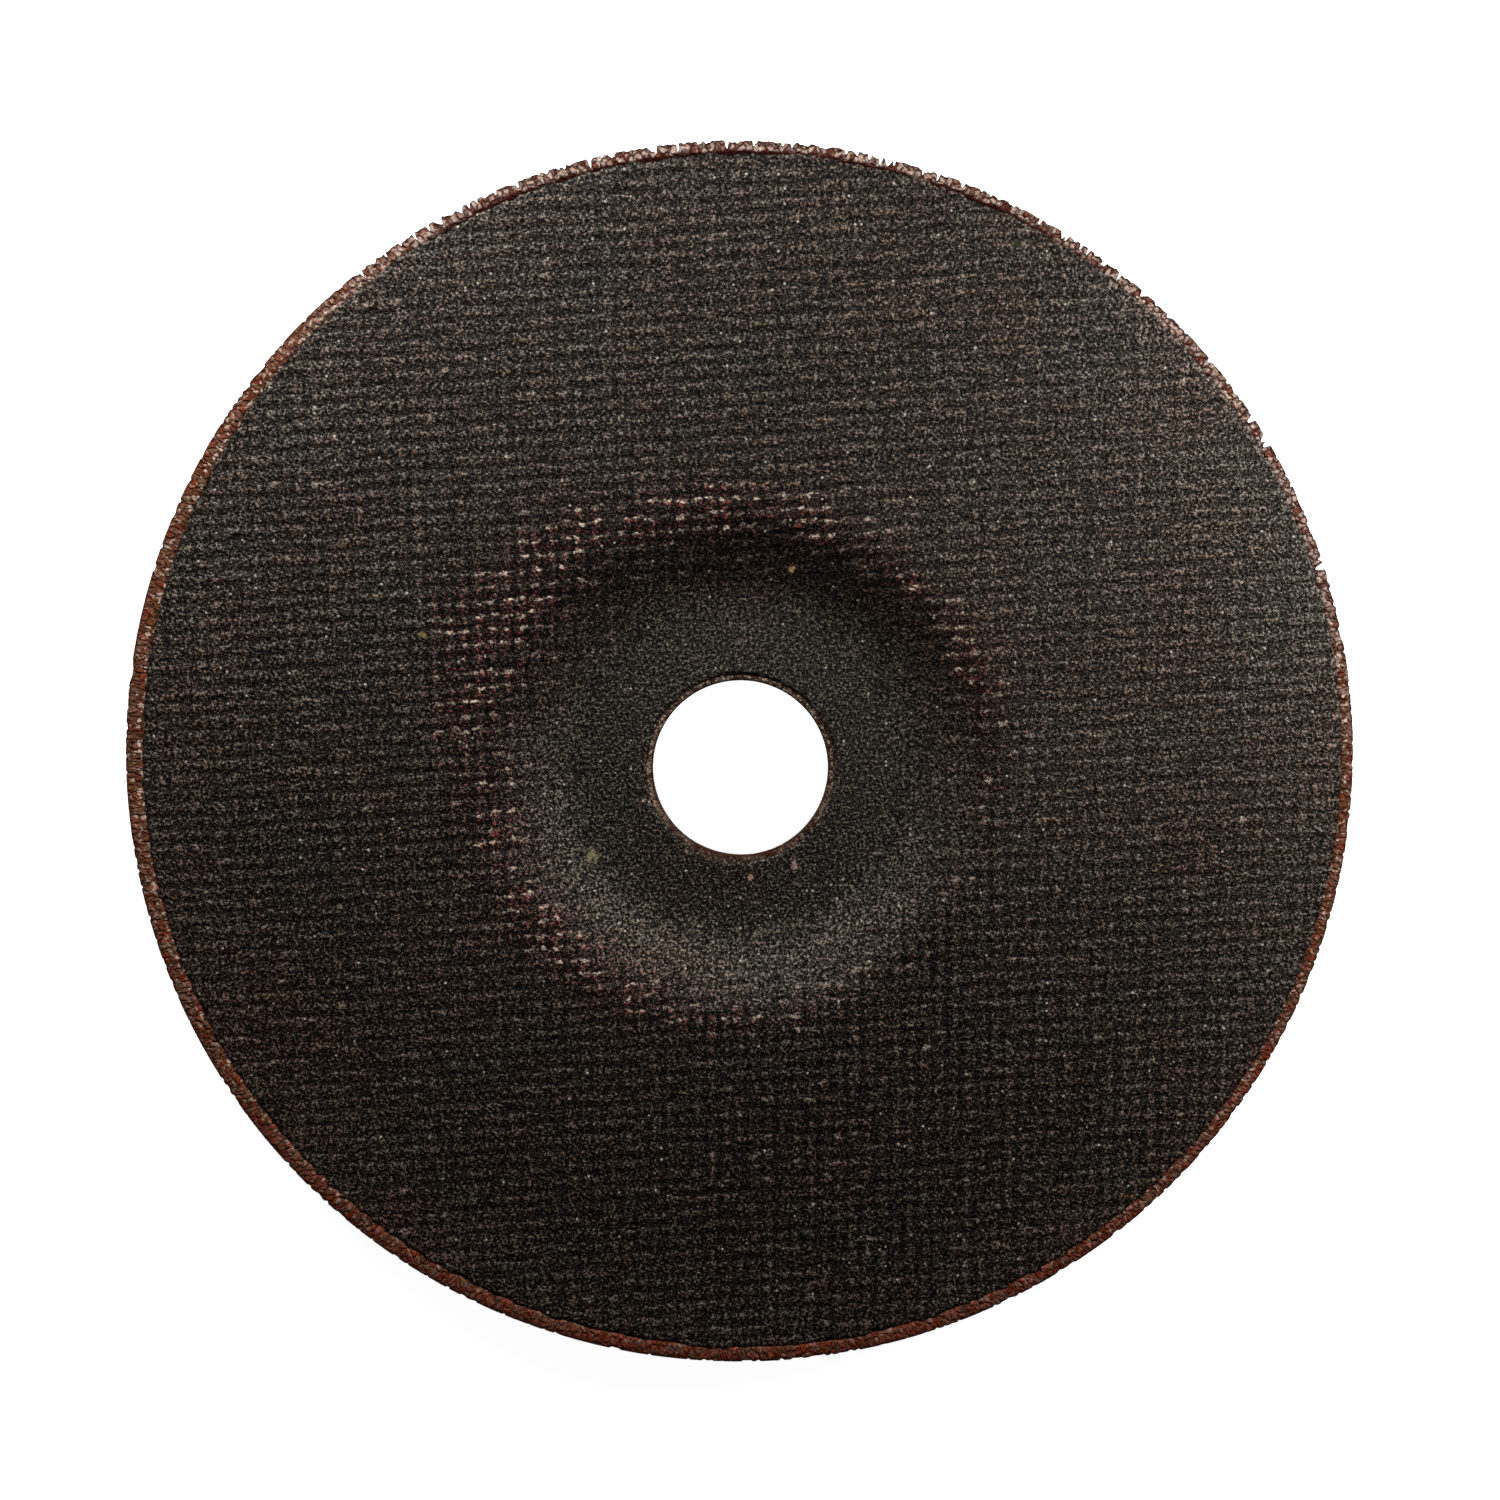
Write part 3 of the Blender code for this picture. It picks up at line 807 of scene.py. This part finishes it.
class Graph:
    """A material's nodes, one short call for each."""

    def __init__(self, name):
        self.material = bpy.data.materials.new(name)
        self.material.use_nodes = True
        self.tree = self.material.node_tree
        self.shader = self.tree.nodes["Principled BSDF"]
        self.place = self.add("ShaderNodeTexCoord", output="Object")

    def node(self, kind, values=None, **settings):
        """Add a node with these settings and inputs."""
        node = self.tree.nodes.new(kind)
        for key, value in settings.items():
            setattr(node, key, value)
        for key, value in (values or {}).items():
            self.feed(node, key, value)
        return node

    def add(self, kind, values=None, output=0, **settings):
        """Add a node, and give one of its outputs."""
        return self.node(kind, values, **settings).outputs[output]

    def feed(self, node, key, value):
        """Set an input, or link it where the value is another node's output."""
        if isinstance(value, bpy.types.NodeSocket):
            self.tree.links.new(value, node.inputs[key])
        else:
            node.inputs[key].default_value = value

    def math(self, operation, *values):
        """Work out one number from others."""
        return self.add("ShaderNodeMath", dict(enumerate(values)), operation=operation)

    def plus(self, first, second):
        return self.math("ADD", first, second)

    def minus(self, first, second):
        return self.math("SUBTRACT", first, second)

    def times(self, first, second):
        return self.math("MULTIPLY", first, second)

    def line(self, value, slope, start):
        """A number times its slope, plus a start."""
        return self.math("MULTIPLY_ADD", value, slope, start)

    def attribute(self, name, output="Fac"):
        """A number kept for each point of the mesh, or what another output gives."""
        return self.add("ShaderNodeAttribute", output=output, attribute_name=name)

    def noise(self, scale, detail, roughness=0.5):
        """Noise whose lumps are 1 / scale metres across."""
        values = {"Vector": self.place, "Scale": scale, "Detail": detail, "Roughness": roughness}
        return self.add("ShaderNodeTexNoise", values, output="Fac")

    def spread(self, value, low, high, to_low=0.0, to_high=1.0):
        """Carry a value's range over to another range, and hold it there."""
        values = {"Value": value, "From Min": low, "From Max": high, "To Min": to_low, "To Max": to_high}
        return self.add("ShaderNodeMapRange", values, output="Result")

    def patches(self, noise, *ranges):
        """Noise, carried over to a range."""
        return self.spread(self.noise(*noise), *ranges)

    def blend(self, factor, first, second):
        """Mix two colours."""
        values = {MIX_FACTOR: factor}
        for key, value in ((MIX_FIRST, first), (MIX_SECOND, second)):
            values[key] = value if isinstance(value, bpy.types.NodeSocket) else (*value, 1.0)
        return self.add("ShaderNodeMix", values, output=MIX_RESULT, data_type="RGBA")

    def across(self, threads):
        """Count of threads from the centre, across one set of threads."""
        values = {0: self.place, 1: (*threads, 0.0)}
        return self.add("ShaderNodeVectorMath", values, output="Value", operation="DOT_PRODUCT")

    def wave(self, turns):
        """0 on each thread's crest and 1 between two threads."""
        return self.line(self.math("COSINE", self.times(turns, 2 * pi)), -0.5, 0.5)

    def scaled(self, colour, amount):
        """Make a colour this many times lighter."""
        return self.add("ShaderNodeVectorMath", {"Vector": colour, "Scale": amount}, operation="SCALE")

    def moved(self, place, colour, distance):
        """Push a place away by a noise colour, up to this distance along each axis."""
        values = {0: colour, 1: (distance, distance, distance), 2: place}
        return self.add("ShaderNodeVectorMath", values, operation="MULTIPLY_ADD")

    def sparks(self, scale, share, size):
        """Small grains or pits: a share of the cells of this scale have none."""
        cells = self.node("ShaderNodeTexVoronoi", {"Vector": self.place, "Scale": float(scale)})
        chance = self.add("ShaderNodeSeparateColor", {"Color": cells.outputs["Color"]})
        near = self.spread(cells.outputs["Distance"], size * 0.5, size, 1.0, 0.0)
        return self.times(near, self.math("GREATER_THAN", chance, share))

    def crossing(self, rows, columns):
        """Three numbers from 0 to 1 for each crossing of threads, and the place in it, -0.5 to 0.5."""
        right = self.math("ROUND", columns)
        up = self.math("ROUND", rows)
        cell = self.add("ShaderNodeCombineXYZ", {"X": right, "Y": up})
        colour = self.add("ShaderNodeTexWhiteNoise", {"Vector": cell}, output="Color")
        lots = self.node("ShaderNodeSeparateColor", {"Color": colour})
        return lots.outputs, self.minus(columns, right), self.minus(rows, up)

    def oval(self, across, up, size, uneven, soft):
        """1 inside an uneven oval of this half width and height, fading to 0 outside it."""
        far = self.plus(self.square(across, size[0]), self.square(up, size[1]))
        far = self.plus(self.math("SQRT", far), uneven)
        return self.spread(far, 1.0 - soft, 1.0 + soft, 1.0, 0.0)

    def stray(self, place, size, uneven):
        """1 inside an uneven grain at this place of the face, with this half size, both in millimetres."""
        values = {0: self.place, 1: Vector((*place, 0.0)) * MILLIMETRE}
        away = self.add("ShaderNodeVectorMath", values, operation="SUBTRACT")
        parts = self.node("ShaderNodeSeparateXYZ", {0: away})
        size = [length * MILLIMETRE for length in size]
        return self.oval(*parts.outputs[:2], size, self.times(uneven, STRAY_UNEVEN), STRAY_SOFTNESS)

    def square(self, length, unit):
        """A length over a unit, squared."""
        return self.math("POWER", self.math("ABSOLUTE", self.math("DIVIDE", length, unit)), 2.0)

    def bump(self, height, distance):
        """Raise the surface by a height from 0 to 1 times a distance."""
        return self.add("ShaderNodeBump", {"Height": height, "Distance": distance}, output="Normal")

    def finish(self, **inputs):
        """Feed the shader."""
        for key, value in inputs.items():
            self.feed(self.shader, key.replace("_", " "), value)
        return self.material


def thread_gaps(graph, rows, columns, worn):
    """How far the threads' gaps darken the coat, with darker resin and painted shade: the rows' alone, and
    all of them.
    """
    gap = graph.math("POWER", graph.wave(rows), GAP_SHARPNESS)
    gap = graph.times(gap, graph.patches(GAP_PATCHES, *GAP_PATCH_RANGE))
    upright = graph.times(graph.wave(columns), graph.line(worn, UPRIGHT_WORN_SHARE, UPRIGHT_SHARE))
    upright = graph.times(upright, graph.attribute("upright"))
    net = graph.plus(graph.wave(graph.across(NET_ROWS)), graph.wave(graph.across(NET_COLUMNS)))
    threads = graph.times(graph.line(net, NET_SHARE, gap), graph.attribute("weave"))
    return gap, graph.plus(threads, upright)


def worn_spots(graph, crossing, worn, gap, grit, uneven):
    """Where the coat is worn: curls of resin at some crossings with a painted highlight on their upper side,
    and red resin below them, partly painted shade.
    """
    lots, across, up = crossing
    chance = lots[2]
    across = graph.minus(across, graph.spread(lots[0], *CURL_ACROSS))
    up = graph.minus(up, graph.spread(lots[1], *CURL_UP))
    some = graph.spread(graph.plus(graph.times(chance, CHANCE_SHARE), worn), *CURL_CHANCE)
    bare = graph.oval(across, up, CURL, uneven, CURL_SOFTNESS)
    bare = graph.times(bare, graph.times(some, graph.spread(grit, *CURL_GRIT)))
    red = graph.oval(across, graph.plus(up, RED_BELOW), RED, uneven, RED_SOFTNESS)
    red = graph.times(red, graph.spread(chance, *RED_CHANCE))
    red = graph.times(graph.math("MAXIMUM", red, graph.times(gap, RED_GAP_SHARE)), worn)
    return bare, red


def coat_depth(graph, grit, threads, worn, chance):
    """How light the coat is, in powers of two, that make its grains sparse and bright on a dark ground,
    darkened in the threads' gaps by resin and painted shade, and with the coat's painted light and shade by
    side.
    """
    contrast = graph.attribute("contrast")
    depth = graph.spread(grit, *GRIT_DEPTH)
    depth = graph.line(depth, graph.line(contrast, CONTRAST_GAIN, 1.0), graph.times(contrast, CONTRAST_DROP))
    depth = graph.plus(graph.minus(depth, threads), graph.attribute("tone_and_shade"))
    patchy = graph.plus(worn, PATCHY_SHARE)
    return graph.plus(depth, graph.times(graph.minus(chance, PATCHY_MIDDLE), patchy))


def coat_colour(graph, grit):
    """Colour of the whole coat, before its grains are lightened."""
    warm = graph.patches(WARM_PATCHES, *WARM_RANGE)
    ground = graph.blend(warm, *COAT_GROUND)
    crest = graph.blend(warm, *COAT_CREST)
    colour = graph.blend(graph.spread(grit, *CREST_RANGE), ground, crest)
    colour = graph.blend(graph.patches(BROWN_PATCHES, *BROWN_RANGE), colour, COAT_BROWN)
    return graph.blend(graph.attribute("hub"), colour, COAT_HUB)


def resin_cloth_material():
    """Black resin and grit over woven glass cloth, worn down to red resin round the shoulder, partly painted
    shade, with painted highlights on the worn curls.
    """
    graph = Graph("resin_over_cloth")
    worn = graph.attribute("worn")
    grit = graph.noise(*GRIT)
    drift = graph.patches(DRIFT, *DRIFT_RANGE)
    rows = graph.plus(graph.attribute("across_rows"), drift)
    columns = graph.plus(graph.attribute("across_columns"), drift)
    crossing = graph.crossing(rows, columns)
    uneven = graph.patches(UNEVEN, *UNEVEN_RANGE)
    # Darker resin and painted shade in the gaps between the threads
    gap, threads = thread_gaps(graph, rows, columns, worn)
    bare, red = worn_spots(graph, crossing, worn, gap, grit, uneven)
    depth = coat_depth(graph, grit, threads, worn, crossing[0][2])
    tone = graph.math("MINIMUM", graph.math("POWER", 2.0, depth), MOST_TONE)

    # Red resin and painted shade where worn, then painted highlights on the curls' upper side
    colour = graph.scaled(graph.blend(red, coat_colour(graph, grit), RED_RESIN_AND_SHADE), tone)
    colour = graph.blend(bare, colour, CURL_HIGHLIGHT)
    colour = graph.blend(graph.sparks(*SPARKS), colour, SPARK)
    for place, size, tint in STRAY_GRAINS:
        colour = graph.blend(graph.stray(place, size, uneven), colour, tint)

    height = graph.minus(grit, graph.times(threads, THREAD_HEIGHT))
    height = graph.plus(height, graph.times(bare, CURL_HEIGHT))
    rough = graph.spread(grit, *COAT_ROUGHNESS)
    gloss = graph.math("POWER", 2.0, graph.times(depth, GLOSS_SLOPE))
    gloss = graph.math("MINIMUM", graph.times(gloss, GLOSS), 1.0)
    graph.shader.inputs["Specular Tint"].default_value = COAT_TINT
    normal = graph.bump(height, COAT_BUMP)
    return graph.finish(Base_Color=colour, Roughness=rough, Specular_IOR_Level=gloss, Normal=normal)


def raw_cells(graph):
    """Grains of the raw abrasive: how near each place is to a gap between two, and each grain's number."""
    spot = graph.attribute("spot", output="Vector")
    values = {"Vector": spot, "Scale": SWIRL_SCALE, "Detail": 1.0}
    spot = graph.moved(spot, graph.add("ShaderNodeTexNoise", values, output="Color"), SWIRL)
    values = {"Vector": spot, "Scale": 1 / GRAIN_SIZE}
    gap = graph.add("ShaderNodeTexVoronoi", values, feature="DISTANCE_TO_EDGE", output="Distance")
    colour = graph.add("ShaderNodeTexVoronoi", values, output="Color")
    return graph.spread(gap, *LINE_RANGE), graph.add("ShaderNodeSeparateColor", {"Color": colour})


def raw_amount(graph, lump, pale, edge):
    """How far each grain is a light one: fewer where the abrasive is dark, and at the raw edge."""
    amount = graph.plus(lump, graph.times(graph.noise(*RAW_CLOUD), CLOUD_SHARE))
    amount = graph.spread(amount, *GRAIN_RANGE)
    amount = graph.times(amount, graph.line(pale, GRAIN_PALE_SHARE, GRAIN_SHARE))
    return graph.times(amount, graph.spread(edge, *GRAIN_EDGE_RANGE))


def painted_highlight_flecks(graph, edge, rusty, strength):
    """How bright the small pale flecks of painted highlight are: strongest near the cloth, and fainter where
    the abrasive is redder towards the bottom.
    """
    fleck = graph.patches(FLECK_LUMPS, *FLECK_RANGE)
    fleck = graph.times(fleck, graph.spread(edge, *FLECK_EDGE_RANGE, strength, FLECK_EDGE_SHARE * strength))
    return graph.times(fleck, graph.spread(rusty, *FLECK_RUST_RANGE))


def raw_outline(graph):
    """How dark the outline is."""
    outer = graph.plus(graph.attribute("edged"), graph.patches(RAW_LUMPS, *OUTLINE_NOISE_RANGE))
    return graph.times(graph.spread(outer, *OUTLINE_RANGE), OUTLINE_SHARE)


def raw_material(name, hollow, grain, brown, rust, deep, highlight_strength):
    """Resin and abrasive grains, bare where the disc was cut out and where it is broken, with pale flecks of
    painted highlight.

    Each colour but the last is a pair, from dark to light. Where the pale attribute is 0 the resin is brown,
    with rust in it.
    """
    graph = Graph(name)
    pale, rusty = graph.attribute("pale"), graph.attribute("rusty")
    edge = graph.plus(graph.attribute("bare"), graph.patches(RAW_LUMPS, *RAGGED_RANGE))
    line, lump = raw_cells(graph)
    grit = graph.noise(*RAW_GRIT)
    shade = graph.spread(grit, *SHADE_RANGE)

    rusted = graph.plus(graph.noise(*RAW_LUMPS), graph.times(rusty, RUST_SHARE))
    rusted = graph.spread(rusted, *RUST_RANGE)
    resin = graph.blend(rusted, graph.blend(shade, *brown), graph.blend(shade, *rust))
    dark = graph.blend(pale, resin, graph.blend(shade, *hollow))
    deep_tone = graph.scaled(deep, graph.plus(shade, DEEP_LIFT))
    colour = graph.blend(raw_amount(graph, lump, pale, edge), dark, graph.blend(shade, *grain))
    colour = graph.blend(graph.times(line, graph.line(pale, LINE_PALE_SHARE, LINE_SHARE)), colour, deep_tone)
    # Painted highlights: pale flecks
    colour = graph.blend(painted_highlight_flecks(graph, edge, rusty, highlight_strength), colour, FLECK_HIGHLIGHT)
    colour = graph.blend(graph.times(graph.sparks(*PITS), PIT_SHARE), colour, PIT)
    inner = graph.times(graph.spread(edge, *INNER_RANGE), graph.attribute("lined"))
    colour = graph.blend(inner, colour, deep_tone)
    colour = graph.blend(raw_outline(graph), colour, graph.blend(pale, *OUTLINE))

    rough = graph.spread(grit, *RAW_ROUGHNESS)
    normal = graph.bump(graph.minus(grit, line), RAW_BUMP)
    graph.shader.inputs["Specular IOR Level"].default_value = RAW_SPECULAR
    return graph.finish(Base_Color=colour, Roughness=rough, Normal=normal)


def rim_material():
    """Red-brown resin and pinkish grains of the raw rim."""
    hollow = (0.056, 0.013, 0.007), (0.235, 0.082, 0.052)
    grain = (0.21, 0.125, 0.095), (0.63, 0.50, 0.42)
    brown = (0.044, 0.0115, 0.0038), (0.185, 0.068, 0.027)
    rust = (0.088, 0.0058, 0.0018), (0.29, 0.047, 0.0125)
    deep = (0.045, 0.007, 0.0038)
    return raw_material("raw_rim", hollow, grain, brown, rust, deep, highlight_strength=0.9)


def bore_material():
    """Dark resin and tan grains of the raw edge at the bore."""
    hollow = (0.040, 0.013, 0.007), (0.20, 0.085, 0.050)
    grain = (0.42, 0.26, 0.165), (0.88, 0.70, 0.51)
    brown = (0.006, 0.004, 0.0025), (0.040, 0.021, 0.012)
    rust = (0.012, 0.004, 0.002), (0.060, 0.018, 0.009)
    deep = (0.020, 0.007, 0.004)
    return raw_material("raw_bore", hollow, grain, brown, rust, deep, highlight_strength=0.6)


def steel_material():
    """Zinc-plated steel, dulled by handling."""
    graph = Graph("zinc_plated_steel")
    cloud = graph.noise(*STEEL_CLOUD)
    colour = graph.blend(graph.spread(cloud, *STEEL_RANGE), *STEEL_GREYS)
    rough = graph.spread(cloud, *STEEL_ROUGHNESS)
    normal = graph.bump(graph.noise(*STEEL_GRAIN), STEEL_BUMP)
    return graph.finish(Base_Color=colour, Metallic=1.0, Roughness=rough, Normal=normal)


def dress(obj, material, node):
    """Give a piece its material and its body, and hide the solid that it stands for."""
    obj.data.materials.append(material)
    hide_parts(node)
    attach(obj, "root")


def cloth_edge(turn, depth):
    """The cloth's outer radius round the wheel: uneven, and kept inside the broken rim."""
    uneven = lumps(turn * WHEEL_RADIUS, 0 * turn, CLOTH_EDGE_LUMPS, wrap=2 * pi * WHEEL_RADIUS)
    edge = np.minimum(CLOTH_RADIUS + uneven, WHEEL_RADIUS - depth - CLOTH_EDGE_GAP) - low_band(turn)
    return edge.reshape(-1, CLOTH_STRIDE).min(1)


def make_wheel():
    """Build the wheel's visible pieces."""
    front_line = dished_line(0.0)
    back_line = dished_line(WALL_THICKNESS)

    def climb(radius):
        return held((np.interp(radius, *front_line) - FLOOR_LEVEL) / RECESS_DEPTH) + HUB_WEAVE

    def past_hub(radius):
        return held((radius - back_line[0][0]) / HUB_FADE)

    turn = np.arange(RIM_SAMPLES) * 2 * pi / RIM_SAMPLES
    depth = chips(turn)
    edge = cloth_edge(turn, depth)
    cloth = resin_cloth_material()
    front = woven_face("woven_face_front", front_line, 1, edge, FRONT_SAMPLES, climb)
    back = woven_face("woven_face_back", back_line, -1, edge, BACK_SAMPLES, past_hub)
    dress(front, cloth, "abrasive_disc")
    dress(back, cloth, "abrasive_disc")
    dress(make_core(), bore_material(), "abrasive_disc")
    dress(make_rim(depth), rim_material(), "abrasive_disc")
    dress(make_ring(), steel_material(), "arbor_ring")


def make_camera():
    """Camera at the photograph's place, looking down with +Y up in the picture."""
    data = bpy.data.cameras.new("camera")
    data.angle = CAMERA_FIELD
    data.clip_start = CAMERA_NEAR
    camera = bpy.data.objects.new("camera", data)
    forward = (CAMERA_AIM - CAMERA_PLACE).normalized()
    right = forward.cross(Vector((0, 1, 0))).normalized()
    up = right.cross(forward)
    turn = Matrix((right, up, -forward)).transposed().to_4x4()
    camera.matrix_world = Matrix.Translation(CAMERA_PLACE) @ turn
    bpy.context.scene.collection.objects.link(camera)
    bpy.context.scene.camera = camera


def make_lamp(name, azimuth, power):
    """Soft square lamp that looks at the wheel's centre. Azimuth runs from +X towards +Y."""
    data = bpy.data.lights.new(name, "AREA")
    data.size = LAMP_SIZE
    data.energy = power
    lamp = bpy.data.objects.new(name, data)
    level = cos(LAMP_ELEVATION)
    away = Vector((cos(azimuth) * level, sin(azimuth) * level, sin(LAMP_ELEVATION)))
    lamp.location = away * LAMP_DISTANCE
    lamp.rotation_euler = away.to_track_quat("Z", "Y").to_euler()
    lamp.visible_camera = False
    bpy.context.scene.collection.objects.link(lamp)


def floor_material():
    """Pale grey that looks white to the camera, in gloss and through glass, and keeps a faint shadow."""
    graph = Graph("floor")
    path = graph.node("ShaderNodeLightPath")
    through = graph.math("MAXIMUM", path.outputs["Is Glossy Ray"], path.outputs["Is Transmission Ray"])
    seen = graph.math("MAXIMUM", path.outputs["Is Camera Ray"], through)
    graph.shader.inputs["Base Color"].default_value = (FLOOR_GREY, FLOOR_GREY, FLOOR_GREY, 1)
    graph.shader.inputs["Emission Color"].default_value = WHITE
    return graph.finish(Roughness=FLOOR_ROUGHNESS, Emission_Strength=graph.times(seen, FLOOR_SHINE))


def make_floor():
    """Plain pale round floor."""
    turn = np.arange(FLOOR_CORNERS) * 2 * pi / FLOOR_CORNERS
    points = np.stack((FLOOR_RADIUS * np.cos(turn), FLOOR_RADIUS * np.sin(turn), 0 * turn - FLOOR_DROP), 1)
    floor = new_object("floor", points.tolist(), [tuple(range(FLOOR_CORNERS))])
    floor.data.materials.append(floor_material())


def make_light():
    """Two low soft lamps beyond the wheel's far edge, in a dim room whose walls look white to the camera."""
    for name, azimuth, power in LAMPS:
        make_lamp(name, azimuth, power)
    world = bpy.data.worlds.new("studio")
    bpy.context.scene.world = world
    world.use_nodes = True
    tree = world.node_tree
    background = tree.nodes["Background"]
    seen = tree.nodes.new("ShaderNodeLightPath").outputs["Is Camera Ray"]
    level = tree.nodes.new("ShaderNodeMapRange")
    level.inputs["To Min"].default_value = ROOM_LIGHT
    level.inputs["To Max"].default_value = 1.0
    tree.links.new(seen, level.inputs["Value"])
    tree.links.new(level.outputs["Result"], background.inputs["Strength"])
    background.inputs["Color"].default_value = WHITE


make_wheel()
make_camera()
make_floor()
make_light()
bpy.context.scene.view_settings.view_transform = "Standard"
